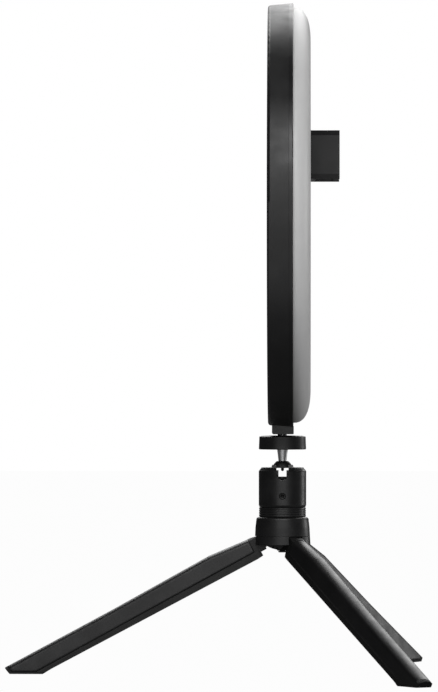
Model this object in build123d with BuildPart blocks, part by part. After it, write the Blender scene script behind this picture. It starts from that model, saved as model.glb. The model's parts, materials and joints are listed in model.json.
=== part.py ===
"""Desk ring light: an LED ring on a thumb disc, a small ball head and a folding table tripod.

Millimetres, +Z up, origin on the tripod's axis at floor level, +X the way the light faces.
"""

import os
from math import cos, radians, sin

from build123d import *

# ---- driving dimensions -------------------------------------------------------------------

GAP = 0.07  # radial clearance of a shaft in its hole

# ring head, turned about an X axis at RING_Z
RING_Z = 281.2
RING_R = 130.0
BACK_R = 128.7
HOLE_R = 84.0
BACK_X = -8.8
SEAM_X = 4.3
FRONT_X = 6.7
WALL = 2.0
BEZEL_W = 2.7
DIFFUSER_H = 10.6
DIFFUSER_T = 1.6
CROWN_R = 105.3
DOME_POWER = 2.5
LED_ROWS = (100.0, 113.0)
LEDS_PER_ROW = 60
HOUSING_SCREWS, HOUSING_SCREW_R = 106.5, 1.3
HOUSING_HEAD_R = 2.35
INLET, INLET_R = 115.0, 4.0
LEDGE_X, LEDGE_OUT, LEDGE_IN = 2.1, 124.6, 89.2
TRAY_BACK, TRAY_T = -6.6, 0.6
BOARD_X, BOARD_R = (-5.95, -4.35), (94.0, 119.0)
CHIP_W, CHIP_L, CHIP_H = 2.8, 3.5, 0.8

# neck: mount block, thumb disc, stem and ball
BLOCK_Z = 147.1
BLOCK_X = (-6.4, 6.9)
BLOCK_W = 24.0
NECK_X, NECK_W, NECK_TOP = (-5.2, 4.3), 16.0, 155.0
INSERT_R = 4.2
STUD_R = 3.1
STUD_TOP = 153.0
DISC_Z = (137.7, 146.0)
DISC_R = 14.5
PAD_R, PAD_T = 8.5, 0.8
BALL_Z = 125.4
BALL_R = 6.17
BALL_TOP = 130.5
BALL_CUT = 126.35
SHANK_R, SHANK_Z = 2.0, 127.5

# ball head and hub
SHOE_IN, SHOE_OUT = 6.28, 6.93
SHOE_TOP = 128.2
CUP_R = 14.55
CUP_Z = (102.3, 126.6)
CUP_IN = 7.03
NOTCH_W = 3.9
NOTCH_Z = 119.1
CUP_BORE_TOP = 113.0
SCREW_Z, SCREW_R, SCREW_L = 109.2, 2.05, 9.8
RING_NUT_R = 14.35
RING_NUT_Z = (96.45, 102.1)
RING_NUT_GROOVES = (98.0, 99.4, 100.8)
COLLAR_Z = (84.6, 96.3)
CROWN_Z = (79.4, 84.5)
CROWN_OUT = 17.2
PLATE_R, PLATE_TOP = 14.8, 91.9
DOME_R, DOME_Z = 11.7, 75.4
COLUMN = 3.4
SLOT_W, SLOT_TOP = 4.8, 85.5
STUD_HEAD_R, STUD_HEAD_H = 5.5, 3.5
CROWN_SCREWS, CROWN_SCREW_R = 8.8, 1.1
PLUG_R, PLUG_BORE = 2.6, 1.5

# legs: hinge, slope and section, measured along and above the hinge's sloping line
LEG_AZIMUTHS = {"rear": 180.0, "near": -60.0, "far": 60.0}
HINGE_X, HINGE_Z = 12.2, 81.2
LEG_SLOPE = 28.7
PIN_R, PIN_L = 1.2, 17.0
KNUCKLE_R, KNUCKLE_W = 3.9, 4.4
WEB_W = 2.9
FLANGE_W, FLANGE_START = 5.7, 4.7
SHELL_START = 7.5
CREST_W, CREST_DROP, EDGE_R = 4.4, 1.2, 1.0
SOLE_T = 1.2
TOE_TOP, TOE_TIP, TOE_BACK = (170.2, 3.4), (167.3, 0.0), (166.0, 1.2)
TOE_RISE = 1.15

# phone holder
ARM_X, ARM_Z = -1.0, 206.0
ARM_T, ARM_W = 5.0, 14.0
EYE_R, EYE_W = 5.2, 3.5
LUG_IN, LUG_OUT, FORK_OUT = 3.7, 8.0, 7.4
ARM_PIN_R, TILT_PIN_R = 2.0, 1.6
TURNTABLE_X, TURNTABLE_R = (6.2, 9.2), 8.0
SPINDLE_R, SPINDLE_L = 3.0, 6.0
CLIP_Z = 317.5
CLIP_H = 29.5
CLIP_BACK, CLIP_FACE, CLIP_FRONT = 9.6, 20.6, 34.9
CLIP_HALF = 27.5
JAW_T, HOOK_T = 5.0, 3.9
ROD_R, ROD_Z, ROD_X = 1.6, 10.5, 15.0
CHANNEL_R, CHANNEL_END = 2.9, -20.0
ROD_FOOT = 3.5
SPRING_IN, SPRING_OUT = 2.0, 2.6
SPRING_Y = (-19.9, 20.9)

RING_AXIS = Axis((0, 0, RING_Z), (1, 0, 0))
STANDING = (Align.CENTER, Align.CENTER, Align.MIN)


def save(part, name):
    """Label one finished piece and write its STEP file."""
    part.label = name
    export_step(part, f"parts/{name}.step")


def turned(points):
    """A solid turned about Z from (radius, height) corners."""
    with BuildPart() as body:
        with BuildSketch(Plane.XZ):
            with BuildLine():
                Polyline(*points, close=True)
            make_face()
        revolve(axis=Axis.Z)
    return body.part


def hoop(points):
    """A solid turned about the ring's axis from (x, radius) corners."""
    with BuildPart() as body:
        with BuildSketch(Plane.XZ):
            with BuildLine():
                Polyline(*[(x, RING_Z + r) for x, r in points], close=True)
            make_face()
        revolve(axis=RING_AXIS)
    return body.part


# ---- tripod hub ---------------------------------------------------------------------------


def leg_crown():
    """The slotted casting that the three legs hinge in, with a domed underside."""
    with BuildPart() as crown:
        with BuildSketch(Plane.XZ):
            with BuildLine():
                rise = CROWN_Z[0] - 0.2 - DOME_Z
                ThreePointArc((0, DOME_Z), (DOME_R / 2, DOME_Z + rise * 0.24), (DOME_R, DOME_Z + rise))
                Polyline(
                    (DOME_R, DOME_Z + rise),
                    (DOME_R, CROWN_Z[0]),
                    (CROWN_OUT, CROWN_Z[0]),
                    (CROWN_OUT - 0.33, CROWN_Z[1]),
                    (PLATE_R, CROWN_Z[1]),
                    (PLATE_R, PLATE_TOP),
                    (0, PLATE_TOP),
                    (0, DOME_Z),
                )
            make_face()
        revolve(axis=Axis.Z)
        with PolarLocations(0, 3, start_angle=LEG_AZIMUTHS["far"]):
            with Locations((COLUMN, 0, DOME_Z - 1)):
                Box(
                    CROWN_OUT,
                    2 * SLOT_W,
                    SLOT_TOP - DOME_Z + 1,
                    align=(Align.MIN, Align.CENTER, Align.MIN),
                    mode=Mode.SUBTRACT,
                )
            with Locations((HINGE_X, 0, HINGE_Z)):
                Cylinder(PIN_R, PIN_L, rotation=(90, 0, 0), mode=Mode.SUBTRACT)
        with BuildSketch(Plane.XY.offset(PLATE_TOP)):
            Circle(STUD_HEAD_R)
        extrude(amount=-STUD_HEAD_H, mode=Mode.SUBTRACT)
        with PolarLocations(CROWN_SCREWS, 3):
            with Locations((0, 0, DOME_Z)):
                Cylinder(CROWN_SCREW_R, 20, align=STANDING, mode=Mode.SUBTRACT)
                Cylinder(CROWN_SCREW_R + 0.85, 3.6, align=STANDING, mode=Mode.SUBTRACT)
        with Locations((0, 0, DOME_Z - 1)):
            Cylinder(PLUG_BORE, 4, align=STANDING, mode=Mode.SUBTRACT)
    return crown.part


def hub_collar():
    """The sloped cover over the crown, with a rounded shoulder."""
    with BuildPart() as collar:
        with BuildSketch(Plane.XZ):
            with BuildLine():
                Polyline((16.85, COLLAR_Z[0]), (16.6, 89.9), (16.1, 94.2))
                ThreePointArc((16.1, 94.2), (15.6, 95.7), (14.4, COLLAR_Z[1]))
                Polyline(
                    (14.4, COLLAR_Z[1]),
                    (STUD_R, COLLAR_Z[1]),
                    (STUD_R, PLATE_TOP),
                    (PLATE_R, PLATE_TOP),
                    (PLATE_R, COLLAR_Z[0]),
                    (16.85, COLLAR_Z[0]),
                )
            make_face()
        revolve(axis=Axis.Z)
        with PolarLocations(CROWN_SCREWS, 3):
            with Locations((0, 0, PLATE_TOP)):
                Cylinder(CROWN_SCREW_R, 2, align=STANDING, mode=Mode.SUBTRACT)
    return collar.part


def hub_stud():
    """The headed stud clamped between crown and collar, which the ball head screws on."""
    head = PLATE_TOP - STUD_HEAD_H
    with BuildPart() as stud:
        with BuildSketch(Plane.XY.offset(head)):
            Circle(STUD_HEAD_R)
        extrude(amount=STUD_HEAD_H)
        with BuildSketch(Plane.XY.offset(PLATE_TOP)):
            Circle(STUD_R)
        extrude(amount=20)
        chamfer(stud.edges().group_by(Axis.Z)[-1], 0.5)
    return stud.part


def hub_plug():
    """The push-in plug at the middle of the crown's underside."""
    with BuildPart() as plug:
        with BuildSketch(Plane.XY.offset(DOME_Z - 0.9)):
            Circle(PLUG_R)
        extrude(amount=0.85)
        fillet(plug.edges().group_by(Axis.Z)[0], 0.5)
        with BuildSketch(Plane.XY.offset(DOME_Z - 0.05)):
            Circle(PLUG_BORE)
        extrude(amount=2.5)
    return plug.part


def hinge_pins():
    """Three tangential steel pins, one for each leg."""
    with BuildPart() as pins:
        with PolarLocations(0, 3, start_angle=LEG_AZIMUTHS["far"]):
            with Locations((HINGE_X, 0, HINGE_Z)):
                Cylinder(PIN_R, PIN_L, rotation=(90, 0, 0))
    return pins.part


def crown_screws():
    """Three screws that pull the collar down on the crown."""
    with BuildPart() as screws:
        with PolarLocations(CROWN_SCREWS, 3):
            with Locations((0, 0, 79.0)):
                Cylinder(CROWN_SCREW_R, 14.8, align=STANDING)
                Cylinder(CROWN_SCREW_R + 0.8, 1.1, align=(Align.CENTER, Align.CENTER, Align.MAX))
    return screws.part


# ---- legs ---------------------------------------------------------------------------------

ALONG = (cos(radians(LEG_SLOPE)), -sin(radians(LEG_SLOPE)))
ABOVE = (sin(radians(LEG_SLOPE)), cos(radians(LEG_SLOPE)))


def leg_point(along, above):
    """(x, z) of a point given along the leg from its hinge, and square to it."""
    x = HINGE_X + along * ALONG[0] + above * ABOVE[0]
    z = HINGE_Z + along * ALONG[1] + above * ABOVE[1]
    return (x, z)


def section_plane(along):
    """The plane square across the leg, with its y pointing out of the crest."""
    x, z = leg_point(along, 0)
    return Plane(origin=(x, 0, z), x_dir=(0, 1, 0), z_dir=(ALONG[0], 0, ALONG[1]))


def leg_envelope():
    """The leg's whole outer form: a crowned bar that flares towards its underside."""
    stations = ((-6, 5.1, 7.1), (9, 5.7, 7.0), (33, 8.05, 6.8), (100, 7.5, 6.5), (182, 8.05, 6.0))
    with BuildPart() as bar:
        for along, crest, base in stations:
            shoulder = crest - CREST_DROP
            side = shoulder - EDGE_R
            with BuildSketch(section_plane(along)):
                with BuildLine():
                    Polyline((CREST_W + EDGE_R / 2, side), (base, -10), (-base, -10),
                             (-CREST_W - EDGE_R / 2, side))
                    for turn in (-1, 1):
                        ThreePointArc(
                            (turn * (CREST_W + EDGE_R / 2), side),
                            (turn * (CREST_W + 0.2 * EDGE_R), shoulder - 0.35 * EDGE_R),
                            (turn * (CREST_W - 0.3 * EDGE_R), shoulder),
                        )
                    reach = CREST_W - 0.3 * EDGE_R
                    ThreePointArc((-reach, shoulder), (0, crest), (reach, shoulder))
                make_face()
        loft(ruled=True)
    return bar.part


def toe_line(reach):
    """A point on the sloping joint between shell and toe pad, a distance forward of its foot."""
    return (TOE_BACK[0] + reach, TOE_BACK[1] + reach * TOE_RISE)


def side_profile(points, half_width, mode):
    """A side outline of (x, z) corners, as wide as stated both ways."""
    with BuildSketch(Plane.XZ) as outline:
        with BuildLine():
            Polyline(*points, close=True)
        make_face()
    extrude(outline.sketch, amount=half_width, both=True, mode=mode)


def leg_shell():
    """The outer shell: the crowned top and sides, hollow underneath for the core."""
    with BuildPart() as shell:
        add(leg_envelope())
        lip_start = leg_point(SHELL_START, -3.3)
        outline = (
            lip_start,
            leg_point(SHELL_START, 12),
            (182, 40),
            toe_line(12),
            TOE_BACK,
            (151.0, SOLE_T),
        )
        side_profile(outline, 10, Mode.INTERSECT)
        cavity = (
            leg_point(SHELL_START - 1, -4),
            leg_point(SHELL_START - 1, 2.6),
            leg_point(148, 2.6),
            leg_point(148, -4),
        )
        side_profile(cavity, WEB_W + 0.1, Mode.SUBTRACT)
    return shell.part


def leg_core():
    """The inner bar that carries the hinge knuckle and shows as a band under the shell."""
    with BuildPart() as core:
        flange = (
            leg_point(FLANGE_START, -7.77),
            leg_point(8.1, -7.98),
            (141.1, 3.5),
            (145.0, SOLE_T),
            (150.9, SOLE_T),
            leg_point(FLANGE_START, -3.4),
        )
        side_profile(flange, FLANGE_W, Mode.ADD)
        web = (
            leg_point(SHELL_START, -3.6),
            leg_point(SHELL_START, 2.5),
            leg_point(147.5, 2.5),
            leg_point(147.5, -2.4),
        )
        side_profile(web, WEB_W, Mode.ADD)
        knuckle = (
            leg_point(0, -5.05),
            leg_point(3.85, -5.05),
            leg_point(3.85, -7.72),
            leg_point(SHELL_START - 0.1, -7.95),
            leg_point(SHELL_START - 0.1, 6),
            leg_point(2.5, 4.7),
            leg_point(0, KNUCKLE_R - 0.1),
        )
        side_profile(knuckle, KNUCKLE_W, Mode.ADD)
        with BuildSketch(Plane.XZ):
            with Locations((HINGE_X, HINGE_Z)):
                Circle(KNUCKLE_R)
        extrude(amount=KNUCKLE_W, both=True)
        add(leg_envelope(), mode=Mode.INTERSECT)
        with Locations((HINGE_X, 0, HINGE_Z)):
            Cylinder(PIN_R + 0.05, 12, rotation=(90, 0, 0), mode=Mode.SUBTRACT)
    return core.part


def foot_pad():
    """The rubber sole, turned up round the toe."""
    with BuildPart() as pad:
        add(leg_envelope())
        outline = (
            (147.0, 0),
            TOE_TIP,
            TOE_TOP,
            toe_line(5),
            TOE_BACK,
            (144.9, SOLE_T),
        )
        side_profile(outline, 10, Mode.INTERSECT)
    return pad.part


def leg_parts():
    """Shell, core and pad of each leg, turned to its azimuth."""
    shell, core, pad = leg_shell(), leg_core(), foot_pad()
    for side, azimuth in LEG_AZIMUTHS.items():
        save(shell.rotate(Axis.Z, azimuth), f"leg_shell_{side}")
        save(core.rotate(Axis.Z, azimuth), f"leg_core_{side}")
        save(pad.rotate(Axis.Z, azimuth), f"foot_pad_{side}")


# ---- ball head ----------------------------------------------------------------------------


def lock_ring():
    """The grooved ring nut under the cup."""
    low, high = RING_NUT_Z
    with BuildPart() as nut:
        with BuildSketch(Plane.XY.offset(low)):
            Circle(RING_NUT_R)
            Circle(STUD_R + GAP, mode=Mode.SUBTRACT)
        extrude(amount=high - low)
        chamfer(nut.edges().filter_by(GeomType.CIRCLE).sort_by(SortBy.RADIUS)[-2:], 0.3)
        for level in RING_NUT_GROOVES:
            with BuildSketch(Plane.XY.offset(level - 0.2)):
                Circle(RING_NUT_R + 1)
                Circle(RING_NUT_R - 0.3, mode=Mode.SUBTRACT)
            extrude(amount=0.4, mode=Mode.SUBTRACT)
    return nut.part


def ball_cup():
    """The socket body: spherical inside, with two notches for the stem and a set screw hole."""
    low, high = CUP_Z
    lip = (CUP_IN**2 - (high - BALL_Z) ** 2) ** 0.5
    with BuildPart() as cup:
        with BuildSketch(Plane.XZ):
            with BuildLine():
                Polyline(
                    (0, CUP_BORE_TOP),
                    (STUD_R + GAP, CUP_BORE_TOP),
                    (STUD_R + GAP, low),
                    (CUP_R - 0.5, low),
                    (CUP_R, low + 1.3),
                    (CUP_R, high - 2.2),
                    (CUP_R - 1.75, high),
                    (lip, high),
                )
                ThreePointArc((lip, high), (CUP_IN * sin(radians(45)), BALL_Z - CUP_IN * cos(radians(45))),
                              (0, BALL_Z - CUP_IN))
                Line((0, BALL_Z - CUP_IN), (0, CUP_BORE_TOP))
            make_face()
        revolve(axis=Axis.Z)
        with BuildSketch(Plane.XZ):
            with Locations((0, NOTCH_Z + NOTCH_W)):
                Circle(NOTCH_W)
                Rectangle(2 * NOTCH_W, 10, align=(Align.CENTER, Align.MIN))
        extrude(amount=CUP_R + 1, both=True, mode=Mode.SUBTRACT)
        with BuildSketch(Plane.XZ.offset(STUD_R)):
            with Locations((0, SCREW_Z)):
                Circle(SCREW_R)
        extrude(amount=CUP_R, mode=Mode.SUBTRACT)
    return cup.part


def cup_set_screw():
    """The radial set screw, with a hexagon socket."""
    with BuildPart() as screw:
        with BuildSketch(Plane.XZ.offset(STUD_R + GAP)):
            with Locations((0, SCREW_Z)):
                Circle(SCREW_R)
        extrude(amount=SCREW_L)
        with BuildSketch(Plane.XZ.offset(STUD_R + GAP + SCREW_L)):
            with Locations((0, SCREW_Z)):
                RegularPolygon(1.1, 6)
        extrude(amount=-2.5, mode=Mode.SUBTRACT)
    return screw.part


def ball_seat():
    """The friction shoe: a thin spherical liner, slotted fore and aft of the stem's swing."""
    with BuildPart() as shoe:
        with Locations((0, 0, BALL_Z)):
            Sphere(SHOE_OUT)
            Sphere(SHOE_IN, mode=Mode.SUBTRACT)
        with BuildSketch(Plane.XY.offset(SHOE_TOP)):
            Circle(10)
        extrude(amount=10, mode=Mode.SUBTRACT)
        for half_width, low in ((2.45, 120.9), (3.7, 124.8)):
            with BuildSketch(Plane.XZ):
                with Locations((0, low)):
                    Rectangle(2 * half_width, 20, align=(Align.CENTER, Align.MIN))
            extrude(amount=10, both=True, mode=Mode.SUBTRACT)
    return shoe.part


def ball():
    """The ball's dome, cut flat below with a small nub."""
    rim = (BALL_R**2 - (BALL_CUT - BALL_Z) ** 2) ** 0.5
    cap = (BALL_R**2 - (BALL_TOP - BALL_Z) ** 2) ** 0.5
    with BuildPart() as dome:
        with BuildSketch(Plane.XZ):
            with BuildLine():
                ThreePointArc((0, 124.35), (0.66, 124.62), (0.93, 125.28))
                Polyline((0.93, 125.28), (0.93, BALL_CUT), (rim, BALL_CUT))
                ThreePointArc(
                    (rim, BALL_CUT),
                    (BALL_R * cos(radians(32)), BALL_Z + BALL_R * sin(radians(32))),
                    (cap, BALL_TOP),
                )
                Polyline((cap, BALL_TOP), (SHANK_R, BALL_TOP), (SHANK_R, SHANK_Z), (0, SHANK_Z), (0, 124.35))
            make_face()
        revolve(axis=Axis.Z)
    return dome.part


def stem_post():
    """The steel neck, with its shank in the ball and a threaded stud above."""
    shoulder = DISC_Z[0]
    points = (
        (0, SHANK_Z),
        (SHANK_R, SHANK_Z),
        (SHANK_R, BALL_TOP),
        (2.45, BALL_TOP),
        (3.3, shoulder),
        (STUD_R, shoulder),
        (STUD_R, STUD_TOP - 0.6),
        (STUD_R - 0.6, STUD_TOP),
        (0, STUD_TOP),
    )
    return turned(points)


def lock_disc():
    """The thumb disc that tightens up against the mount block."""
    low, high = DISC_Z
    points = (
        (STUD_R + GAP, low),
        (DISC_R - 0.3, low),
        (DISC_R, low + 0.4),
        (DISC_R - 0.3, high - 0.5),
        (DISC_R - 2.2, high),
        (PAD_R, high),
        (PAD_R, high - PAD_T),
        (STUD_R + GAP, high - PAD_T),
    )
    return turned(points)


def disc_pad():
    """The grip pad let into the top of the disc."""
    high = DISC_Z[1]
    points = (
        (STUD_R + GAP, high - PAD_T),
        (PAD_R, high - PAD_T),
        (PAD_R, high),
        (PAD_R - 0.4, high + 0.15),
        (STUD_R + GAP, high + 0.15),
    )
    return turned(points)


# ---- ring head ----------------------------------------------------------------------------


def side_radius(x):
    """The housing's outer radius, which draws out slightly towards the front."""
    return BACK_R + (RING_R - BACK_R) * (x - BACK_X) / (FRONT_X - BACK_X)


def on_ring(radius, angle):
    """(y, z) of a point on a circle about the ring's axis."""
    return (radius * cos(radians(angle)), RING_Z + radius * sin(radians(angle)))


def across_ring(x):
    """A plane square to the ring's axis, with its y up and its normal to the front."""
    return Plane(origin=(x, 0, 0), x_dir=(0, 1, 0), z_dir=(1, 0, 0))


def drill_ring(x, depth, radius, circle, count, start=0.0, mode=Mode.SUBTRACT):
    """Round holes or pins along X, evenly on a circle about the ring's axis."""
    with BuildSketch(across_ring(x)) as outline:
        for i in range(count):
            with Locations(on_ring(circle, start + 360 * i / count)):
                Circle(radius)
    extrude(outline.sketch, amount=depth, mode=mode)


def neck_pocket(mode):
    """The mount block's upper end, which passes through the housing's wall."""
    with BuildSketch(Plane.XY.offset(BLOCK_Z + 2)) as outline:
        with Locations((sum(NECK_X) / 2, 0)):
            Rectangle(NECK_X[1] - NECK_X[0], NECK_W)
    extrude(outline.sketch, amount=NECK_TOP - BLOCK_Z - 2, mode=mode)


def rear_housing():
    """The ring's rear housing, an annular channel open to the front."""
    floor = BACK_X + WALL
    outline = (
        (BACK_X, HOLE_R + 1.0),
        (BACK_X + 1.0, HOLE_R),
        (SEAM_X, HOLE_R),
        (SEAM_X, HOLE_R + WALL),
        (floor, HOLE_R + WALL),
        (floor, BACK_R - WALL),
        (SEAM_X, side_radius(SEAM_X) - WALL),
        (SEAM_X, side_radius(SEAM_X)),
        (BACK_X + 1.8, side_radius(BACK_X + 1.8)),
    )
    with BuildPart() as housing:
        with BuildSketch(Plane.XZ):
            with BuildLine():
                points = [(x, RING_Z + r) for x, r in outline]
                Polyline(*points)
                RadiusArc(points[-1], (BACK_X, RING_Z + BACK_R - 1.8), -1.8)
                Line((BACK_X, RING_Z + BACK_R - 1.8), points[0])
            make_face()
        revolve(axis=RING_AXIS)
        neck_pocket(Mode.SUBTRACT)
        drill_ring(BACK_X - 0.1, WALL + 1, HOUSING_SCREW_R, HOUSING_SCREWS, 6, 30)
        drill_ring(BACK_X - 0.1, 1.5, HOUSING_HEAD_R + 0.05, HOUSING_SCREWS, 6, 30)
        drill_ring(BACK_X - 0.1, WALL + 1, INLET_R, INLET, 1, -90)
    return housing.part


def outer_bezel():
    """The thin front rim, with a ledge inside that carries the diffuser's edge."""
    inside = RING_R - BEZEL_W
    with BuildPart() as bezel:
        add(hoop((
            (SEAM_X, side_radius(SEAM_X)),
            (FRONT_X - 0.4, side_radius(FRONT_X - 0.4)),
            (FRONT_X, RING_R - 0.4),
            (FRONT_X, inside),
            (SEAM_X, inside),
            (SEAM_X, LEDGE_OUT),
            (LEDGE_X, LEDGE_OUT),
            (LEDGE_X, 127.5),
            (SEAM_X, 127.5),
        )))
        neck_pocket(Mode.SUBTRACT)
    return bezel.part


def inner_bezel():
    """The matching rim round the hole."""
    inside = HOLE_R + BEZEL_W
    return hoop((
        (SEAM_X, HOLE_R),
        (FRONT_X - 0.4, HOLE_R),
        (FRONT_X, HOLE_R + 0.4),
        (FRONT_X, inside),
        (SEAM_X, inside),
        (SEAM_X, LEDGE_IN),
        (LEDGE_X, LEDGE_IN),
        (LEDGE_X, HOLE_R + WALL + 0.1),
        (SEAM_X, HOLE_R + WALL + 0.1),
    ))


def dome_line(inner_r, outer_r, height, steps=9):
    """(x, radius) points of a full-shouldered dome between two radii, from outside to inside."""
    points = []
    for side, edge in ((1, outer_r), (-1, inner_r)):
        half = []
        for i in range(steps + 1):
            turn = radians(90 * i / steps)
            rise = sin(turn) ** (2 / DOME_POWER) * height
            reach = cos(turn) ** (2 / DOME_POWER) if i < steps else 0
            half.append((FRONT_X + rise, CROWN_R + (edge - CROWN_R) * reach))
        points += half if side > 0 else half[-2::-1]
    return [(x, RING_Z + r) for x, r in points]


def diffuser():
    """The translucent dome over the LEDs, a thin shell on a short skirt."""
    outer_r, inner_r = RING_R - BEZEL_W - 0.05, HOLE_R + BEZEL_W + 0.05
    outer = dome_line(inner_r, outer_r, DIFFUSER_H)
    inner = dome_line(inner_r + DIFFUSER_T, outer_r - DIFFUSER_T, DIFFUSER_H - DIFFUSER_T)
    foot = SEAM_X + 0.05
    with BuildPart() as shell:
        with BuildSketch(Plane.XZ):
            with BuildLine():
                Spline(*outer, tangents=((1, 0), (-1, 0)))
                Spline(*inner, tangents=((1, 0), (-1, 0)))
                Polyline(outer[0], (foot, outer[0][1]), (foot, inner[0][1]), inner[0])
                Polyline(outer[-1], (foot, outer[-1][1]), (foot, inner[-1][1]), inner[-1])
            make_face()
        revolve(axis=RING_AXIS)
    return shell.part


def reflector_ring():
    """The white tray behind the LEDs, with sloping sides."""
    with BuildPart() as tray:
        add(hoop((
            (TRAY_BACK, 123.3),
            (1.8, 125.8),
            (1.8, 125.2),
            (TRAY_BACK + TRAY_T, 122.9),
            (TRAY_BACK + TRAY_T, 90.1),
            (1.8, 87.4),
            (1.8, 86.8),
            (TRAY_BACK, 89.7),
        )))
        drill_ring(TRAY_BACK - 0.4, 2, HOUSING_SCREW_R, HOUSING_SCREWS, 6, 30)
    return tray.part


def led_board():
    """The annular circuit board that the LEDs are soldered on."""
    with BuildPart() as board:
        low, high = BOARD_R
        add(hoop(((BOARD_X[0], low), (BOARD_X[0], high), (BOARD_X[1], high), (BOARD_X[1], low))))
        drill_ring(BOARD_X[0] - 1, 4, HOUSING_SCREW_R, HOUSING_SCREWS, 6, 30)
    return board.part


def led_chips():
    """Two rows of LEDs on the board."""
    with BuildPart() as chips:
        for circle in LED_ROWS:
            with BuildSketch(across_ring(BOARD_X[1])):
                for i in range(LEDS_PER_ROW):
                    angle = 360 * i / LEDS_PER_ROW
                    with Locations(Location(on_ring(circle, angle) + (0,), angle)):
                        Rectangle(CHIP_W, CHIP_L)
            extrude(amount=CHIP_H)
    return chips.part


def housing_screws():
    """Six screws from the back that hold the reflector and the board."""
    with BuildPart() as screws:
        drill_ring(BACK_X + 0.3, 1.1, HOUSING_HEAD_R, HOUSING_SCREWS, 6, 30, Mode.ADD)
        drill_ring(BACK_X + 1.4, 3.0, HOUSING_SCREW_R, HOUSING_SCREWS, 6, 30, Mode.ADD)
        drill_ring(BACK_X + 0.3, 0.7, 0.9, HOUSING_SCREWS, 6, 30)
    return screws.part


def cable_grommet():
    """The rubber gland in the back, where the lead would enter."""
    with BuildPart() as gland:
        drill_ring(BACK_X, WALL, INLET_R, INLET, 1, -90, Mode.ADD)
        drill_ring(BACK_X, 1.2, INLET_R - 2.2, INLET, 1, -90)
    return gland.part


def mount_block():
    """The tab below the ring, let through the housing's wall and bored for its insert."""
    with BuildPart() as block:
        with BuildSketch(Plane.XZ):
            with BuildLine():
                Polyline(
                    (BLOCK_X[0], BLOCK_Z + 1.2),
                    (BLOCK_X[0], 154),
                    (BLOCK_X[1], 154),
                    (BLOCK_X[1], BLOCK_Z + 0.3),
                    (BLOCK_X[1] - 0.3, BLOCK_Z),
                    (BLOCK_X[0] + 1.2, BLOCK_Z),
                )
                RadiusArc((BLOCK_X[0] + 1.2, BLOCK_Z), (BLOCK_X[0], BLOCK_Z + 1.2), 1.2)
            make_face()
        extrude(amount=BLOCK_W / 2, both=True)
        add(hoop((
            (BACK_X, 0),
            (BACK_X, side_radius(BACK_X)),
            (FRONT_X, RING_R),
            (8, RING_R),
            (8, 0),
        )), mode=Mode.SUBTRACT)
        neck_pocket(Mode.ADD)
        with BuildSketch(Plane.XY.offset(BLOCK_Z)):
            Circle(INSERT_R)
        extrude(amount=NECK_TOP - BLOCK_Z, mode=Mode.SUBTRACT)
    return block.part


def tripod_insert():
    """The brass insert that the stem's stud screws into."""
    with BuildPart() as insert:
        with BuildSketch(Plane.XY.offset(BLOCK_Z + 0.3)):
            Circle(INSERT_R)
            Circle(STUD_R + GAP, mode=Mode.SUBTRACT)
        extrude(amount=NECK_TOP - BLOCK_Z - 0.6)
    return insert.part


# ---- phone holder -------------------------------------------------------------------------


def eye_profile(centre, radius, low, high):
    """A round eye across the Y axis, from y = low to y = high."""
    with BuildSketch(Plane.XZ.offset(-high)) as outline:
        with Locations(centre):
            Circle(radius)
    extrude(outline.sketch, amount=high - low)


def bore_y(centre, radius, mode=Mode.SUBTRACT, half=20.0):
    """A round hole or pin along Y through a point."""
    with BuildSketch(Plane.XZ) as outline:
        with Locations(centre):
            Circle(radius)
    extrude(outline.sketch, amount=half, both=True, mode=mode)


def holder_base():
    """The bracket at the bottom of the hole, with two lugs for the arm's hinge."""
    with BuildPart() as base:
        with BuildSketch(Plane.XY.offset(190)):
            with Locations((ARM_X, 0)):
                Rectangle(11, 2 * LUG_OUT)
        extrude(amount=10.5)
        add(hoop(((-20, 0), (-20, HOLE_R), (20, HOLE_R), (20, 0))), mode=Mode.INTERSECT)
        for low, high in ((-LUG_OUT, -LUG_IN), (LUG_IN, LUG_OUT)):
            eye_profile((ARM_X, ARM_Z), EYE_R, low, high)
            with BuildSketch(Plane.XY.offset(200)):
                with Locations((ARM_X, (low + high) / 2)):
                    Rectangle(2 * EYE_R, high - low)
            extrude(amount=ARM_Z - 200)
        bore_y((ARM_X, ARM_Z), ARM_PIN_R)
    return base.part


def arm_pin():
    """The hinge pin of the arm, headed at one end and threaded for the knob at the other."""
    with BuildPart() as pin:
        with BuildSketch(Plane.XZ.offset(-10)):
            with Locations((ARM_X, ARM_Z)):
                Circle(ARM_PIN_R)
        extrude(amount=23)
        eye_profile((ARM_X, ARM_Z), 3.6, LUG_OUT, 10)
    return pin.part


def arm_knob():
    """The lobed thumb knob that tightens the arm's hinge."""
    with BuildPart() as knob:
        with BuildSketch(Plane.XZ.offset(LUG_OUT + 0.3)):
            with Locations((ARM_X, ARM_Z)):
                Circle(5.2)
                with PolarLocations(4.2, 6):
                    Circle(1.9)
                Circle(ARM_PIN_R + GAP, mode=Mode.SUBTRACT)
        extrude(amount=5.4)
        with BuildSketch(Plane.XZ.offset(LUG_OUT + 5.2)):
            with Locations((ARM_X, ARM_Z)):
                Circle(4.6)
        extrude(amount=0.8)
    return knob.part


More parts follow.
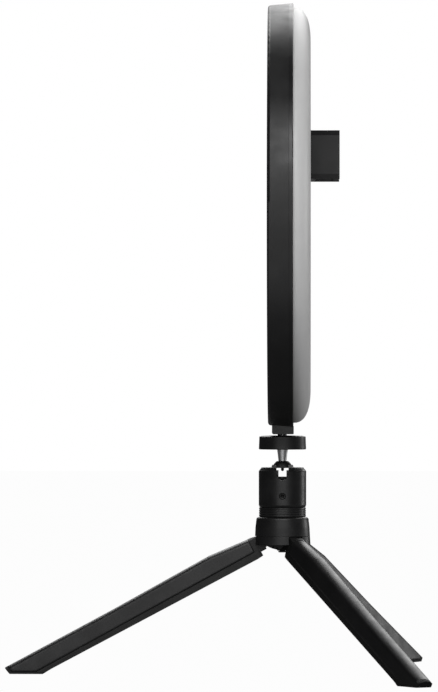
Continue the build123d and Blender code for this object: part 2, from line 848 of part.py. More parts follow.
def holder_arm():
    """The upright arm, a flat bar with an eye at each end."""
    with BuildPart() as arm:
        for level in (ARM_Z, CLIP_Z):
            eye_profile((ARM_X, level), EYE_R, -EYE_W, EYE_W)
        with BuildSketch(Plane.XZ):
            with Locations((ARM_X, (ARM_Z + CLIP_Z) / 2)):
                Rectangle(ARM_T, CLIP_Z - ARM_Z)
        extrude(amount=EYE_W, both=True)
        with BuildSketch(Plane.YZ.offset(ARM_X)):
            with Locations((0, (ARM_Z + CLIP_Z) / 2)):
                RectangleRounded(ARM_W, CLIP_Z - ARM_Z - 16, 3.4)
        extrude(amount=ARM_T / 2, both=True)
        chamfer(arm.edges().filter_by(Axis.Z).group_by(SortBy.LENGTH)[-1], 0.8)
        bore_y((ARM_X, ARM_Z), ARM_PIN_R + 0.05)
        bore_y((ARM_X, CLIP_Z), TILT_PIN_R + 0.05)
    return arm.part


def clip_knuckle():
    """The fork on the arm's upper eye, with a disc and spindle that the clip turns on."""
    with BuildPart() as fork:
        for low, high in ((-FORK_OUT, -LUG_IN), (LUG_IN, FORK_OUT)):
            eye_profile((ARM_X, CLIP_Z), EYE_R, low, high)
            with BuildSketch(Plane.XZ.offset(-high)):
                with Locations((ARM_X, CLIP_Z)):
                    Rectangle(6.3 - ARM_X, 2 * EYE_R, align=(Align.MIN, Align.CENTER))
            extrude(amount=high - low)
        with BuildSketch(across_ring(TURNTABLE_X[0])):
            with Locations((0, CLIP_Z)):
                Circle(TURNTABLE_R)
        extrude(amount=TURNTABLE_X[1] - TURNTABLE_X[0])
        with BuildSketch(across_ring(TURNTABLE_X[1])):
            with Locations((0, CLIP_Z)):
                Circle(SPINDLE_R)
        extrude(amount=SPINDLE_L)
        bore_y((ARM_X, CLIP_Z), TILT_PIN_R)
    return fork.part


def tilt_pin():
    """The pin of the clip's tilt hinge, headed at both ends."""
    with BuildPart() as pin:
        bore_y((ARM_X, CLIP_Z), TILT_PIN_R, Mode.ADD, FORK_OUT + 1)
        for low, high in ((-FORK_OUT - 1, -FORK_OUT), (FORK_OUT, FORK_OUT + 1)):
            eye_profile((ARM_X, CLIP_Z), 2.7, low, high)
    return pin.part


def along_y(y):
    """A plane square to Y, with x forward and its normal to -Y."""
    return Plane.XZ.offset(-y)


def rod_line(mode, radius, low, high):
    """The two parallel cylinders along Y that guide the sliding jaw."""
    with BuildSketch(along_y(high)) as outline:
        with Locations((ROD_X, CLIP_Z - ROD_Z), (ROD_X, CLIP_Z + ROD_Z)):
            Circle(radius)
    extrude(outline.sketch, amount=high - low, mode=mode)


def clip_body():
    """The clip's back, with channels for the rods and springs and a bore for the spindle."""
    near = -CLIP_HALF + 0.3
    with BuildPart() as body:
        with BuildSketch(along_y(CLIP_HALF)):
            with Locations(((CLIP_BACK + CLIP_FACE) / 2, CLIP_Z)):
                RectangleRounded(CLIP_FACE - CLIP_BACK, CLIP_H, 1.6)
        extrude(amount=CLIP_HALF - near)
        with BuildSketch(across_ring(CLIP_BACK)):
            with Locations((0, CLIP_Z)):
                Circle(SPINDLE_R + GAP)
        extrude(amount=5.8, mode=Mode.SUBTRACT)
        rod_line(Mode.SUBTRACT, ROD_R + GAP, near, CLIP_HALF)
        rod_line(Mode.SUBTRACT, CHANNEL_R, CHANNEL_END, CLIP_HALF)
    return body.part


def jaw(side):
    """A jaw: an end wall with a hook over the phone's front, on the +Y or -Y side."""
    inner = CLIP_HALF
    outer = CLIP_HALF + JAW_T
    hook = CLIP_HALF - 4.5
    with BuildPart() as body:
        with BuildSketch(Plane.XY.offset(CLIP_Z - CLIP_H / 2)):
            with BuildLine():
                Polyline(
                    (CLIP_BACK, side * inner),
                    (CLIP_BACK, side * outer),
                    (CLIP_FRONT, side * outer),
                    (CLIP_FRONT, side * hook),
                    (CLIP_FRONT - HOOK_T, side * hook),
                    (CLIP_FRONT - HOOK_T, side * inner),
                    close=True,
                )
            make_face()
        extrude(amount=CLIP_H)
        outer_face = body.faces().sort_by(Axis.Y)[-1 if side > 0 else 0]
        top, bottom = outer_face.edges().sort_by(Axis.Z)[-1], outer_face.edges().sort_by(Axis.Z)[0]
        chamfer(top, length=3.0, length2=1.0, reference=outer_face)
        chamfer(bottom, length=3.0, length2=1.0, reference=outer_face)
    return body


def fixed_jaw():
    """The far jaw, which closes the ends of the body's channels."""
    return jaw(1).part


def sliding_jaw():
    """The near jaw, bored for the two rods."""
    body = jaw(-1)
    with body:
        rod_line(Mode.SUBTRACT, ROD_R, -CLIP_HALF - ROD_FOOT, -CLIP_HALF)
    return body.part


def guide_rods():
    """Two rods fixed in the sliding jaw, each with a collar that its spring pushes on."""
    with BuildPart() as rods:
        rod_line(Mode.ADD, ROD_R, -CLIP_HALF - ROD_FOOT, 24)
        rod_line(Mode.ADD, CHANNEL_R - GAP, 21, 23)
    return rods.part


def clip_springs():
    """The return springs on the rods, as plain sleeves."""
    with BuildPart() as springs:
        rod_line(Mode.ADD, SPRING_OUT, *SPRING_Y)
        rod_line(Mode.SUBTRACT, SPRING_IN, *SPRING_Y)
    return springs.part


def jaw_pad(side):
    """The rubber strip on a jaw's gripping face."""
    low, high = sorted((side * CLIP_HALF, side * (CLIP_HALF - 1.2)))
    with BuildPart() as pad:
        with BuildSketch(along_y(high)):
            with Locations(((CLIP_FACE + CLIP_FRONT - HOOK_T) / 2 + 0.4, CLIP_Z)):
                RectangleRounded(8.6, CLIP_H - 5, 1.2)
        extrude(amount=high - low)
    return pad.part


def back_pad():
    """The rubber pad on the clip's back that the phone lies against."""
    with BuildPart() as pad:
        with BuildSketch(across_ring(CLIP_FACE)):
            with Locations((0, CLIP_Z)):
                RectangleRounded(44, CLIP_H - 6, 2)
        extrude(amount=0.8)
    return pad.part


# ---- all pieces ---------------------------------------------------------------------------

os.makedirs("parts", exist_ok=True)

save(leg_crown(), "leg_crown")
save(hub_collar(), "hub_collar")
save(hub_stud(), "hub_stud")
save(hub_plug(), "hub_plug")
save(hinge_pins(), "hinge_pins")
save(crown_screws(), "crown_screws")
leg_parts()
save(lock_ring(), "lock_ring")
save(ball_cup(), "ball_cup")
save(cup_set_screw(), "cup_set_screw")
save(ball_seat(), "ball_seat")
save(ball(), "ball")
save(stem_post(), "stem_post")
save(lock_disc(), "lock_disc")
save(disc_pad(), "disc_pad")
save(rear_housing(), "rear_housing")
save(outer_bezel(), "outer_bezel")
save(inner_bezel(), "inner_bezel")
save(diffuser(), "diffuser")
save(reflector_ring(), "reflector_ring")
save(led_board(), "led_board")
save(led_chips(), "led_chips")
save(housing_screws(), "housing_screws")
save(cable_grommet(), "cable_grommet")
save(mount_block(), "mount_block")
save(tripod_insert(), "tripod_insert")
save(holder_base(), "holder_base")
save(arm_pin(), "arm_pin")
save(arm_knob(), "arm_knob")
save(holder_arm(), "holder_arm")
save(clip_knuckle(), "clip_knuckle")
save(tilt_pin(), "tilt_pin")
save(clip_body(), "clip_body")
save(fixed_jaw(), "fixed_jaw")
save(sliding_jaw(), "sliding_jaw")
save(guide_rods(), "guide_rods")
save(clip_springs(), "clip_springs")
save(jaw_pad(1), "fixed_jaw_pad")
save(jaw_pad(-1), "sliding_jaw_pad")
save(back_pad(), "back_pad")
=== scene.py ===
"""Desk ring light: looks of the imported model, with a plain pale studio round it."""

import json
from math import cos, pi, radians, sin

import bmesh
import bpy
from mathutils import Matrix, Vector


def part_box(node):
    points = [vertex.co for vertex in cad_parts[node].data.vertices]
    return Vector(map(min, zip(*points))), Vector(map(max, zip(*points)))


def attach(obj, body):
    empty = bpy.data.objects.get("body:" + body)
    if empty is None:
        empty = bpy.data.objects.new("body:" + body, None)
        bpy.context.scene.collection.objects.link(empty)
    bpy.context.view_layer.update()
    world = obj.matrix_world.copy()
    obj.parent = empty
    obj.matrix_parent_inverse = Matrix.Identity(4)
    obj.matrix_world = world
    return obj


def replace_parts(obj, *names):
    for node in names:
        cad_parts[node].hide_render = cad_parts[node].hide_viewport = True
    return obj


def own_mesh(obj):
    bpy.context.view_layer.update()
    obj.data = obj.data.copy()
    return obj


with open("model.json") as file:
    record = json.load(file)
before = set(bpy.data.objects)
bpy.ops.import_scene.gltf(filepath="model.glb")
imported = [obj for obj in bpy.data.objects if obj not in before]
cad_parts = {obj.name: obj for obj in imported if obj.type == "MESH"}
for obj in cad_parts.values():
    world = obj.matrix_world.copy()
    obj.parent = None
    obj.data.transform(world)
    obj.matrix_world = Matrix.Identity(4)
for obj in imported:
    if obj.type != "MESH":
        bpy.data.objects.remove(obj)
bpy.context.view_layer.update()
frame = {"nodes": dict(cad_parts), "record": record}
nodes = frame["nodes"]

MM = 0.001

# Where the dull band round the top of the clip begins.
DULL_BAND_Z = 0.3292
RIB_PITCH = 1.4 * MM

# Screws: how many, the circle that they stand on, and where the first one is.
HOUSING_SCREWS, HOUSING_CIRCLE, HOUSING_START = 6, 106.5 * MM, 30
CROWN_SCREWS, CROWN_CIRCLE, CROWN_START = 3, 8.8 * MM, 0
GRUB_CLEARANCE = 0.02 * MM
GRUB_SOCKET, GRUB_SOCKET_DEPTH = 1.02 * MM, 1.6 * MM

# The stem: a core in the ball, a flared neck, then a rolled thread.
CORE_R, FOOT_R, SHOULDER_R, TOP_R = 2.0 * MM, 1.2 * MM, 2.7 * MM, 1.6 * MM
NECK_R, NECK_FLARE, NECK_CURVE, NECK_STEPS = 2.45, 0.85, 1.15, 14
STUD_R, PITCH = 3.1 * MM, 1.27 * MM
THREAD_DEPTH, THREAD_RISE = 0.55 * MM, 0.53 * MM
THREAD_START, THREAD_ROWS, THREAD_COLUMNS = 0.4 * MM, 150, 48

# The clip's two springs.
WIRE_R, COIL_GAP = 0.27 * MM, 0.3 * MM
SPRING_TURNS, TURN_STEPS, WIRE_SIDES = 16, 20, 8

# The camera: a long lens, square to the object's side.
LENS, SENSOR_WIDTH, CLIP_END = 301, 36, 50
CAMERA_PLACE = (0.015, -3.55, 0.198)
TARGET = Vector((-0.03895, 0.0, 0.2011))
LIGHT_TARGET = (0, 0, 0.22)

# Softboxes: name, place, size, power and what each is aimed at.
SOFTBOXES = (
    ("back_wall", (0.2, 2.5, 2.4), (3.2, 3.0), 95, (0, 0, 0.3)),
    ("front_key", (0.0, -2.2, 1.85), (2.4, 1.2), 38, LIGHT_TARGET),
    ("front_wide", (0.0, -4.4, 0.3), (4.0, 1.4), 28, LIGHT_TARGET),
    ("table_glow", (0.0, -0.85, 0.004), (0.7, 1.0), 1.2, (0.0, -0.8499, 1.0)),
    ("right_rim", (2.6, 1.5, 0.35), (0.5, 0.9), 11, LIGHT_TARGET),
)
RIGHT_FILL = ("right_fill", (2.4, -0.3, 0.9), (1.2, 1.6), 12, LIGHT_TARGET)
ROOM_GLOW, FLOOR_SEEN, FLOOR_GLOW, FLOOR_TONE = 0.008, 0.98, 0.05, 0.03
FLOOR_HALF = 6.0


# ---- node helpers -------------------------------------------------------------------------


def new_material(name):
    """A node material with its shader and a coordinate source, ready for more nodes."""
    material = bpy.data.materials.new(name)
    material.use_nodes = True
    tree = material.node_tree
    shader = tree.nodes["Principled BSDF"]
    coords = tree.nodes.new("ShaderNodeTexCoord")
    return material, tree, shader, coords.outputs["Object"]


def noise(tree, coords, scale, detail=3.0, roughness=0.5, stretch=None):
    """Noise at so many cells to the metre, optionally stretched along one axis."""
    if stretch:
        mapping = tree.nodes.new("ShaderNodeMapping")
        mapping.inputs["Scale"].default_value = stretch
        tree.links.new(coords, mapping.inputs["Vector"])
        coords = mapping.outputs["Vector"]
    node = tree.nodes.new("ShaderNodeTexNoise")
    node.inputs["Scale"].default_value = scale
    node.inputs["Detail"].default_value = detail
    node.inputs["Roughness"].default_value = roughness
    tree.links.new(coords, node.inputs["Vector"])
    return node.outputs["Fac"]


def ramp(tree, value, low, high, at=(0.35, 0.65)):
    """A value spread between two ends; low and high are numbers or colours."""
    node = tree.nodes.new("ShaderNodeValToRGB")
    for element, place, end in zip(node.color_ramp.elements, at, (low, high)):
        element.position = place
        element.color = (*end, 1) if isinstance(end, tuple) else (end, end, end, 1)
    tree.links.new(value, node.inputs["Fac"])
    return node.outputs["Color"]


def bump(tree, shader, heights, easing=0.25):
    """Bumps over softly eased edges: each is (height value, distance, strength)."""
    last = None
    if easing:
        edge = tree.nodes.new("ShaderNodeBevel")
        edge.samples = 8
        edge.inputs["Radius"].default_value = easing * MM
        last = edge.outputs["Normal"]
    for value, distance, strength in heights:
        node = tree.nodes.new("ShaderNodeBump")
        node.inputs["Distance"].default_value = distance
        node.inputs["Strength"].default_value = strength
        tree.links.new(value, node.inputs["Height"])
        if last:
            tree.links.new(last, node.inputs["Normal"])
        last = node.outputs["Normal"]
    tree.links.new(last, shader.inputs["Normal"])


# ---- materials ----------------------------------------------------------------------------


def moulded_plastic(name, tone, gloss, grain=2600, depth=0.02, easing=0.25):
    """Black moulded plastic: a fine spark-eroded grain, faint flow marks, uneven gloss."""
    material, tree, shader, coords = new_material(name)
    flow = noise(tree, coords, 14, 4, 0.6)
    fine = noise(tree, coords, grain, 2)
    cloud = noise(tree, coords, 90, 3)
    dark = tuple(0.8 * t for t in tone)
    light = tuple(1.25 * t for t in tone)
    tree.links.new(ramp(tree, flow, dark, light), shader.inputs["Base Color"])
    tree.links.new(ramp(tree, cloud, gloss - 0.05, gloss + 0.06), shader.inputs["Roughness"])
    shader.inputs["IOR"].default_value = 1.5
    bump(tree, shader, ((fine, depth * MM, 0.35), (cloud, 0.03 * MM, 0.15)), easing)
    return material


def anodised(name, tone, gloss):
    """Black anodised aluminium with turning marks round the Z axis."""
    material, tree, shader, coords = new_material(name)
    rings = noise(tree, coords, 60, 3, 0.6, stretch=(1, 1, 60))
    cloud = noise(tree, coords, 120, 3)
    dark = tuple(0.8 * t for t in tone)
    light = tuple(1.3 * t for t in tone)
    tree.links.new(ramp(tree, cloud, dark, light), shader.inputs["Base Color"])
    tree.links.new(ramp(tree, rings, gloss - 0.05, gloss + 0.07), shader.inputs["Roughness"])
    shader.inputs["IOR"].default_value = 1.5
    bump(tree, shader, ((rings, 0.01 * MM, 0.3),))
    return material


def rubber(name, tone):
    """Matt black rubber with a soft pebble."""
    material, tree, shader, coords = new_material(name)
    pebble = noise(tree, coords, 1800, 2)
    dust = noise(tree, coords, 70, 4, 0.7)
    dark = tuple(0.8 * t for t in tone)
    light = tuple(1.8 * t for t in tone)
    tree.links.new(ramp(tree, dust, dark, light), shader.inputs["Base Color"])
    tree.links.new(ramp(tree, dust, 0.62, 0.8), shader.inputs["Roughness"])
    shader.inputs["IOR"].default_value = 1.48
    bump(tree, shader, ((pebble, 0.04 * MM, 0.4),))
    return material


def ribbed_rubber(name, tone, pitch):
    """Matt rubber moulded with fine ribs that run along Y."""
    material, tree, shader, coords = new_material(name)
    wave = tree.nodes.new("ShaderNodeTexWave")
    wave.bands_direction = "Z"
    wave.inputs["Scale"].default_value = pi / (10 * pitch)
    tree.links.new(coords, wave.inputs["Vector"])
    dust = noise(tree, coords, 70, 4, 0.7)
    tree.links.new(ramp(tree, dust, tone, tuple(1.8 * t for t in tone)), shader.inputs["Base Color"])
    tree.links.new(ramp(tree, dust, 0.62, 0.8), shader.inputs["Roughness"])
    shader.inputs["IOR"].default_value = 1.48
    bump(tree, shader, ((wave.outputs["Fac"], 0.3 * MM, 0.8),))
    return material


def banded_plastic(name, tone, gloss, level):
    """Clip plastic: moulded plastic with a dull spark-eroded band above a level."""
    material = moulded_plastic(name, tone, gloss)
    tree = material.node_tree
    shader = tree.nodes["Principled BSDF"]
    coords = tree.nodes.new("ShaderNodeTexCoord")
    split = tree.nodes.new("ShaderNodeSeparateXYZ")
    above = tree.nodes.new("ShaderNodeMath")
    above.operation = "GREATER_THAN"
    above.inputs[1].default_value = level
    tree.links.new(coords.outputs["Object"], split.inputs["Vector"])
    tree.links.new(split.outputs["Z"], above.inputs[0])
    dull = ramp(tree, above.outputs["Value"], 0.5, 0.06, (0.0, 1.0))
    tree.links.new(dull, shader.inputs["Specular IOR Level"])
    return material


def turned_metal(name, tone, gloss):
    """Bright turned metal with fine lathe rings round the Z axis."""
    material, tree, shader, coords = new_material(name)
    rings = noise(tree, coords, 80, 4, 0.6, stretch=(1, 1, 90))
    cloud = noise(tree, coords, 200, 3)
    dark = tuple(0.86 * t for t in tone)
    tree.links.new(ramp(tree, cloud, dark, tone), shader.inputs["Base Color"])
    tree.links.new(ramp(tree, rings, gloss - 0.06, gloss + 0.08), shader.inputs["Roughness"])
    shader.inputs["Metallic"].default_value = 1.0
    bump(tree, shader, ((rings, 0.01 * MM, 0.35),))
    return material


def milky_plastic(name):
    """The diffuser: milky translucent plastic with a satin skin and faint moulding haze."""
    material, tree, shader, coords = new_material(name)
    haze = noise(tree, coords, 25, 4, 0.6)
    fine = noise(tree, coords, 3000, 2)
    tree.links.new(ramp(tree, haze, (0.73, 0.73, 0.73), (0.77, 0.77, 0.765)), shader.inputs["Base Color"])
    tree.links.new(ramp(tree, haze, 0.40, 0.48), shader.inputs["Roughness"])
    shader.inputs["IOR"].default_value = 1.49
    shader.inputs["Subsurface Weight"].default_value = 0.25
    shader.inputs["Subsurface Radius"].default_value = (3 * MM, 3 * MM, 3 * MM)
    shader.inputs["Subsurface Scale"].default_value = 1.0
    bump(tree, shader, ((fine, 0.01 * MM, 0.2),), easing=0)
    return material


def plain_plastic(name, tone, gloss):
    """Light plastic or board inside the head, with slight mottling."""
    material, tree, shader, coords = new_material(name)
    cloud = noise(tree, coords, 150, 3)
    dark = tuple(0.9 * t for t in tone)
    tree.links.new(ramp(tree, cloud, dark, tone), shader.inputs["Base Color"])
    tree.links.new(ramp(tree, cloud, gloss - 0.05, gloss + 0.05), shader.inputs["Roughness"])
    return material


def paint_nodes():
    """Every carried-over CAD node gets the material that its record slot calls for."""
    finishes = {
        "housing": moulded_plastic("housing", (0.014, 0.014, 0.0145), 0.42, depth=0.008),
        "bezel": moulded_plastic("bezel", (0.012, 0.012, 0.0125), 0.36, depth=0.01),
        "diffuser": milky_plastic("diffuser"),
        "leg_shell": moulded_plastic("leg_shell", (0.012, 0.012, 0.0125), 0.38, depth=0.006, easing=2.2),
        "leg_core": moulded_plastic("leg_core", (0.008, 0.008, 0.008), 0.5, depth=0.03),
        "rubber": rubber("rubber", (0.006, 0.006, 0.006)),
        "hub_metal": anodised("hub_metal", (0.012, 0.012, 0.0125), 0.36),
        "nylon": plain_plastic("nylon", (0.16, 0.16, 0.16), 0.55),
        "ball_black": anodised("ball_black", (0.003, 0.003, 0.003), 0.55),
        "steel": turned_metal("steel", (0.92, 0.92, 0.93), 0.42),
        "black_steel": anodised("black_steel", (0.006, 0.006, 0.006), 0.4),
        "brass": turned_metal("brass", (0.72, 0.52, 0.24), 0.3),
        "reflector": plain_plastic("reflector", (0.86, 0.86, 0.86), 0.6),
        "circuit": plain_plastic("circuit", (0.82, 0.84, 0.82), 0.45),
        "led": plain_plastic("led", (0.85, 0.72, 0.25), 0.4),
        "clip_plastic": banded_plastic("clip_plastic", (0.012, 0.012, 0.0125), 0.4, DULL_BAND_Z),
    }
    for part in frame["record"]["subparts"]:
        mesh = nodes[part["node"]].data
        mesh.materials.clear()
        mesh.materials.append(finishes[part["material_slot"]])
    ribbed = ribbed_rubber("ribbed_rubber", (0.006, 0.006, 0.006), RIB_PITCH)
    for name in ("fixed_jaw_pad", "sliding_jaw_pad", "back_pad"):
        nodes[name].data.materials[0] = ribbed
    return finishes


# ---- mesh pieces --------------------------------------------------------------------------


def skin(rows, looped=False):
    """(vertices, faces) of a skin over rows of equal length, capped at both ends or looped."""
    columns = len(rows[0])
    vertices = [Vector(v) for row in rows for v in row]
    faces = []
    for i in range(len(rows) if looped else len(rows) - 1):
        here, there = i * columns, (i + 1) % len(rows) * columns
        for j in range(columns):
            k = (j + 1) % columns
            faces.append((here + j, here + k, there + k, there + j))
    if not looped:
        faces.append(tuple(range(columns - 1, -1, -1)))
        faces.append(tuple(range(len(vertices) - columns, len(vertices))))
    return vertices, faces


def piece(name, body, material, shapes, sharp=35):
    """One mesh piece of several shapes, which rides on a body of the frame."""
    vertices, faces = [], []
    for points, polygons in shapes:
        start = len(vertices)
        vertices += [tuple(p) for p in points]
        faces += [tuple(start + i for i in polygon) for polygon in polygons]
    mesh = bpy.data.meshes.new(name)
    mesh.from_pydata(vertices, [], faces)
    work = bmesh.new()
    work.from_mesh(mesh)
    bmesh.ops.recalc_face_normals(work, faces=work.faces)
    work.to_mesh(mesh)
    work.free()
    mesh.materials.append(material)
    mesh.shade_smooth()
    mesh.set_sharp_from_angle(angle=radians(sharp))
    obj = bpy.data.objects.new(name, mesh)
    bpy.context.collection.objects.link(obj)
    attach(obj, body)
    return obj


def circle_row(radius, height, count=36):
    """A row of points round Z."""
    turn = 2 * pi / count
    return [(radius * cos(turn * i), radius * sin(turn * i), height) for i in range(count)]


def hexagon_row(apothem, height, count=36):
    """A row of points round Z on a hexagon."""
    row = []
    for i in range(count):
        angle = 2 * pi * i / count
        radius = apothem / cos(angle % (pi / 3) - pi / 6)
        row.append((radius * cos(angle), radius * sin(angle), height))
    return row


def socket_screw(head_r, head_h, shank_r, length, socket_r):
    """A screw with an eased round head and a hexagon socket, its head's top at the origin."""
    edge = 0.3 * head_h
    return skin([
        circle_row(0.7 * shank_r, -length),
        circle_row(shank_r, -length + 0.3 * shank_r),
        circle_row(shank_r, -head_h),
        circle_row(head_r, -head_h),
        circle_row(head_r, -edge),
        circle_row(head_r - 0.3 * edge, -0.3 * edge),
        circle_row(head_r - edge, 0),
        hexagon_row(1.1 * socket_r, 0),
        hexagon_row(socket_r, -0.1 * head_h),
        hexagon_row(socket_r, -0.65 * head_h),
    ])


def placed(shape, centre, outward):
    """A shape turned so that its Z points outward, with its origin at a centre."""
    vertices, faces = shape
    turn = Vector(outward).to_track_quat("Z", "Y").to_matrix()
    return [turn @ v + Vector(centre) for v in vertices], faces


def round_axis(count, start, radius, centre, along):
    """Places evenly round an X or a Z axis through a centre."""
    places = []
    for i in range(count):
        angle = radians(start + 360 * i / count)
        a, b = radius * cos(angle), radius * sin(angle)
        offset = (0, a, b) if along == "X" else (a, b, 0)
        places.append(Vector(centre) + Vector(offset))
    return places


def add_screws(finishes):
    """Socket screws in the back of the head, under the crown and in the side of the cup."""
    black = finishes["black_steel"]
    low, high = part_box("housing_screws")
    ring_z = (low[2] + high[2]) / 2
    screw = socket_screw(2.3 * MM, 1.1 * MM, 1.25 * MM, 4.0 * MM, 1.0 * MM)
    centre = (low[0], 0, ring_z)
    places = round_axis(HOUSING_SCREWS, HOUSING_START, HOUSING_CIRCLE, centre, "X")
    shapes = [placed(screw, place, (-1, 0, 0)) for place in places]
    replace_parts(piece("back_screws", "ring", black, shapes), "housing_screws")

    low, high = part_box("crown_screws")
    screw = socket_screw(1.85 * MM, 1.1 * MM, 1.05 * MM, high[2] - low[2], 0.85 * MM)
    places = round_axis(CROWN_SCREWS, CROWN_START, CROWN_CIRCLE, (0, 0, low[2]), "Z")
    shapes = [placed(screw, place, (0, 0, -1)) for place in places]
    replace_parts(piece("under_screws", "hub", black, shapes), "crown_screws")

    low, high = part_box("cup_set_screw")
    radius = (high[0] - low[0]) / 2 - GRUB_CLEARANCE
    length = high[1] - low[1]
    level = (low[2] + high[2]) / 2
    grub = skin([
        circle_row(0.6 * radius, -length),
        circle_row(radius, -length + 0.5 * MM),
        circle_row(radius, -0.35 * MM),
        circle_row(radius - 0.35 * MM, 0),
        hexagon_row(GRUB_SOCKET + 0.1 * MM, 0),
        hexagon_row(GRUB_SOCKET, -0.12 * MM),
        hexagon_row(GRUB_SOCKET, -GRUB_SOCKET_DEPTH),
        circle_row(0.2 * MM, -GRUB_SOCKET_DEPTH - 0.5 * MM),
    ])
    set_screw = piece("side_set_screw", "cup", black, [placed(grub, (0, low[1], level), (0, -1, 0))])
    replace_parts(set_screw, "cup_set_screw")


def add_stem(finishes):
    """The steel neck with a rolled thread on the stud above it."""
    low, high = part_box("stem_post")
    foot, top = low[2], high[2]
    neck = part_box("ball")[1][2]
    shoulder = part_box("lock_disc")[0][2]
    count = THREAD_COLUMNS
    rows = [
        circle_row(FOOT_R, foot, count),
        circle_row(CORE_R, foot + 0.1 * MM, count),
        circle_row(CORE_R, neck, count),
    ]
    for i in range(NECK_STEPS + 1):
        t = i / NECK_STEPS
        radius = (NECK_R + NECK_FLARE * t ** NECK_CURVE) * MM
        rows.append(circle_row(radius, neck + t * (shoulder - neck), count))
    rows.append(circle_row(SHOULDER_R, shoulder + 0.02 * MM, count))
    start = shoulder + THREAD_START
    for i in range(THREAD_ROWS + 1):
        z = start + (top - start) * i / THREAD_ROWS
        fade = min(1, (top - z) / (0.8 * MM), (z - start) / (0.6 * MM) + 0.15)
        row = []
        for j in range(count):
            angle = 2 * pi * j / count
            phase = (z / PITCH - j / count) % 1
            crest = min(1, max(0, 1.5 * abs(2 * phase - 1) - 0.25))
            radius = STUD_R - THREAD_DEPTH + THREAD_RISE * crest * max(fade, 0)
            row.append((radius * cos(angle), radius * sin(angle), z))
        rows.append(row)
    rows.append(circle_row(TOP_R, top, count))
    stem = piece("threaded_stem", "stem", finishes["steel"], [skin(rows)], 50)
    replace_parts(stem, "stem_post")


def add_springs(finishes):
    """Two wire springs on the guide rods, riding on the clip as one fixed mesh."""
    low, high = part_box("clip_springs")
    coil_r = (high[0] - low[0]) / 2 - COIL_GAP
    x = (low[0] + high[0]) / 2
    shapes = []
    levels = (low[2] + coil_r + COIL_GAP, high[2] - coil_r - COIL_GAP)
    for z in levels:
        rows = []
        steps = SPRING_TURNS * TURN_STEPS
        for i in range(steps + 1):
            t = i / steps
            angle = 2 * pi * i / TURN_STEPS
            y = low[1] + WIRE_R + (high[1] - low[1] - 2 * WIRE_R) * t
            row = []
            for j in range(WIRE_SIDES):
                turn = 2 * pi * j / WIRE_SIDES
                radius = coil_r + WIRE_R * cos(turn)
                row.append((x + radius * cos(angle), y + WIRE_R * sin(turn), z + radius * sin(angle)))
            rows.append(row)
        shapes.append(skin(rows))
    springs = piece("return_springs", "clip", finishes["steel"], shapes, 80)
    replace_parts(springs, "clip_springs")
    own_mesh(springs)


# ---- studio -------------------------------------------------------------------------------


def aim(obj, target):
    """Turn a camera or a lamp so that it looks at a point."""
    obj.rotation_euler = (Vector(target) - obj.location).to_track_quat("-Z", "Y").to_euler()


def add_camera():
    """A long lens square to the object's side, at the height of the ring's lower half."""
    data = bpy.data.cameras.new("camera")
    data.lens = LENS
    data.sensor_width = SENSOR_WIDTH
    data.clip_end = CLIP_END
    camera = bpy.data.objects.new("camera", data)
    camera.location = CAMERA_PLACE
    aim(camera, TARGET)
    bpy.context.collection.objects.link(camera)
    bpy.context.scene.camera = camera


def add_softbox(name, place, size, power, target):
    """A rectangular area light, not seen by the camera."""
    data = bpy.data.lights.new(name, "AREA")
    data.shape = "RECTANGLE"
    data.size, data.size_y = size
    data.energy = power
    lamp = bpy.data.objects.new(name, data)
    lamp.location = place
    lamp.visible_camera = False
    aim(lamp, target)
    bpy.context.collection.objects.link(lamp)
    return lamp


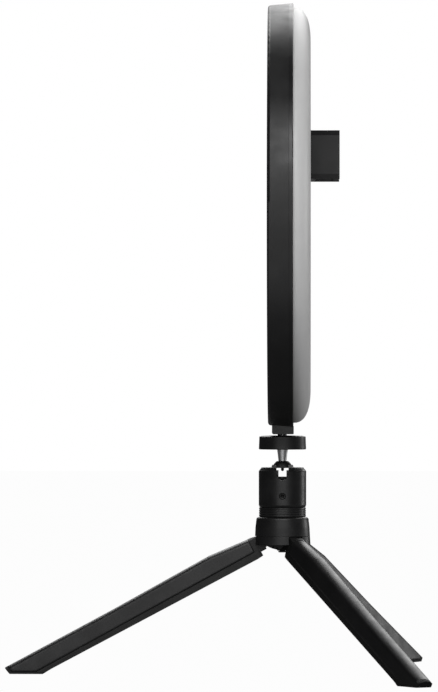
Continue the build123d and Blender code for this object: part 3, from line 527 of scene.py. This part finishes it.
def add_world():
    """White where the camera looks past the object, a dim grey studio everywhere else."""
    world = bpy.data.worlds.new("studio")
    bpy.context.scene.world = world
    world.use_nodes = True
    tree = world.node_tree
    tree.nodes.clear()
    seen = tree.nodes.new("ShaderNodeBackground")
    seen.inputs["Color"].default_value = (1, 1, 1, 1)
    seen.inputs["Strength"].default_value = 1.0
    room = tree.nodes.new("ShaderNodeBackground")
    room.inputs["Color"].default_value = (1, 1, 1, 1)
    room.inputs["Strength"].default_value = ROOM_GLOW
    path = tree.nodes.new("ShaderNodeLightPath")
    mix = tree.nodes.new("ShaderNodeMixShader")
    output = tree.nodes.new("ShaderNodeOutputWorld")
    tree.links.new(path.outputs["Is Camera Ray"], mix.inputs["Fac"])
    tree.links.new(room.outputs["Background"], mix.inputs[1])
    tree.links.new(seen.outputs["Background"], mix.inputs[2])
    tree.links.new(mix.outputs["Shader"], output.inputs["Surface"])


def add_floor():
    """A pale, softly glowing studio floor."""
    mesh = bpy.data.meshes.new("floor")
    half = FLOOR_HALF
    corners = [(-half, -half, 0), (half, -half, 0), (half, half, 0), (-half, half, 0)]
    mesh.from_pydata(corners, [], [(0, 1, 2, 3)])
    floor = bpy.data.objects.new("floor", mesh)
    bpy.context.collection.objects.link(floor)
    material = bpy.data.materials.new("pale_floor")
    material.use_nodes = True
    tree = material.node_tree
    shader = tree.nodes["Principled BSDF"]
    shader.inputs["Base Color"].default_value = (FLOOR_TONE, FLOOR_TONE, FLOOR_TONE, 1)
    shader.inputs["Roughness"].default_value = 0.9
    glow = tree.nodes.new("ShaderNodeEmission")
    glow.inputs["Strength"].default_value = FLOOR_SEEN
    path = tree.nodes.new("ShaderNodeLightPath")
    mix = tree.nodes.new("ShaderNodeMixShader")
    output = tree.nodes["Material Output"]
    tree.links.new(path.outputs["Is Camera Ray"], mix.inputs["Fac"])
    shader.inputs["Emission Color"].default_value = (1, 1, 1, 1)
    shader.inputs["Emission Strength"].default_value = FLOOR_GLOW
    tree.links.new(shader.outputs["BSDF"], mix.inputs[1])
    tree.links.new(glow.outputs["Emission"], mix.inputs[2])
    tree.links.new(mix.outputs["Shader"], output.inputs["Surface"])
    mesh.materials.append(material)


def add_lights():
    """Walls and panels of soft light, and a fill that lights matt surfaces but adds no gloss."""
    for softbox in SOFTBOXES:
        add_softbox(*softbox)
    fill = add_softbox(*RIGHT_FILL)
    fill.visible_glossy = False


bpy.context.scene.view_settings.view_transform = "Standard"
finishes = paint_nodes()
add_screws(finishes)
add_stem(finishes)
add_springs(finishes)
add_world()
add_floor()
add_lights()
add_camera()
